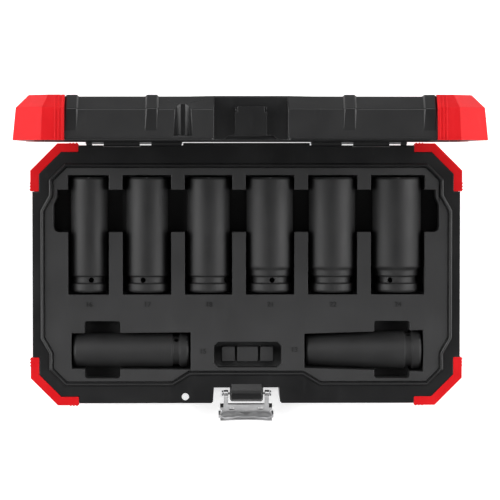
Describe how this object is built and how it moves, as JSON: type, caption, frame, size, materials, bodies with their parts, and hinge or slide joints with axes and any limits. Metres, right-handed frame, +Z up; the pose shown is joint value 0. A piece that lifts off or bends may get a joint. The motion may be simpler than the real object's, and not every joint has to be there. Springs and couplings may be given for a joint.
{
  "type": "socket set in case",
  "caption": "Deep impact sockets seated in a moulded inlay inside a hinged plastic case with corner bumpers and a front latch, lid standing open.",
  "frame": {"origin": "centre of the flat underside of the case's base", "axes": "+X along the case's length to the viewer's right, +Y towards the hinge, +Z up"},
  "size_m": [0.301, 0.2248, 0.2174],
  "materials": {
    "case_plastic": "fine satin texture",
    "inlay_plastic": "fine matt texture",
    "bumper_rubber": "satin",
    "socket_black": "satin black phosphate",
    "latch_zinc": "zinc plated",
    "pin_steel": "bright drawn wire"
  },
  "bodies": {
    "case": {"base_shell": "case_plastic", "inlay_tray": "inlay_plastic", "latch_pin": "pin_steel", "hinge_pin_left": "pin_steel", "hinge_pin_right": "pin_steel", "base_bumper_front_left": "bumper_rubber", "base_bumper_front_right": "bumper_rubber", "base_bumper_back_left": "bumper_rubber", "base_bumper_back_right": "bumper_rubber"},
    "lid": {"lid_shell": "case_plastic", "lid_bumper_front_left": "bumper_rubber", "lid_bumper_front_right": "bumper_rubber", "lid_bumper_back_left": "bumper_rubber", "lid_bumper_back_right": "bumper_rubber"},
    "latch": {"latch_lever": "latch_zinc"},
    "body_socket_16": {"socket_16": "socket_black"},
    "body_socket_17": {"socket_17": "socket_black"},
    "body_socket_18": {"socket_18": "socket_black"},
    "body_socket_21": {"socket_21": "socket_black"},
    "body_socket_22": {"socket_22": "socket_black"},
    "body_socket_24": {"socket_24": "socket_black"},
    "body_socket_15": {"socket_15": "socket_black"},
    "body_socket_13": {"socket_13": "socket_black"}
  },
  "joints": [
    {"name": "lid_hinge", "type": "hinge", "parent": "case", "child": "lid", "pos_m": [0, 0.0917, 0.03415], "axis": [-1, 0, 0], "range_deg": [-90, 0]},
    {"name": "latch_hinge", "type": "hinge", "parent": "case", "child": "latch", "pos_m": [0, -0.0832, 0.0304], "axis": [1, 0, 0], "range_deg": [-134, 0]},
    {"name": "lift_socket_16", "type": "slide", "parent": "case", "child": "body_socket_16", "axis": [0, 0, 1], "range_m": [0, 0.06]},
    {"name": "lift_socket_17", "type": "slide", "parent": "case", "child": "body_socket_17", "axis": [0, 0, 1], "range_m": [0, 0.06]},
    {"name": "lift_socket_18", "type": "slide", "parent": "case", "child": "body_socket_18", "axis": [0, 0, 1], "range_m": [0, 0.06]},
    {"name": "lift_socket_21", "type": "slide", "parent": "case", "child": "body_socket_21", "axis": [0, 0, 1], "range_m": [0, 0.06]},
    {"name": "lift_socket_22", "type": "slide", "parent": "case", "child": "body_socket_22", "axis": [0, 0, 1], "range_m": [0, 0.06]},
    {"name": "lift_socket_24", "type": "slide", "parent": "case", "child": "body_socket_24", "axis": [0, 0, 1], "range_m": [0, 0.06]},
    {"name": "lift_socket_15", "type": "slide", "parent": "case", "child": "body_socket_15", "axis": [0, 0, 1], "range_m": [0, 0.06]},
    {"name": "lift_socket_13", "type": "slide", "parent": "case", "child": "body_socket_13", "axis": [0, 0, 1], "range_m": [0, 0.06]}
  ]
}
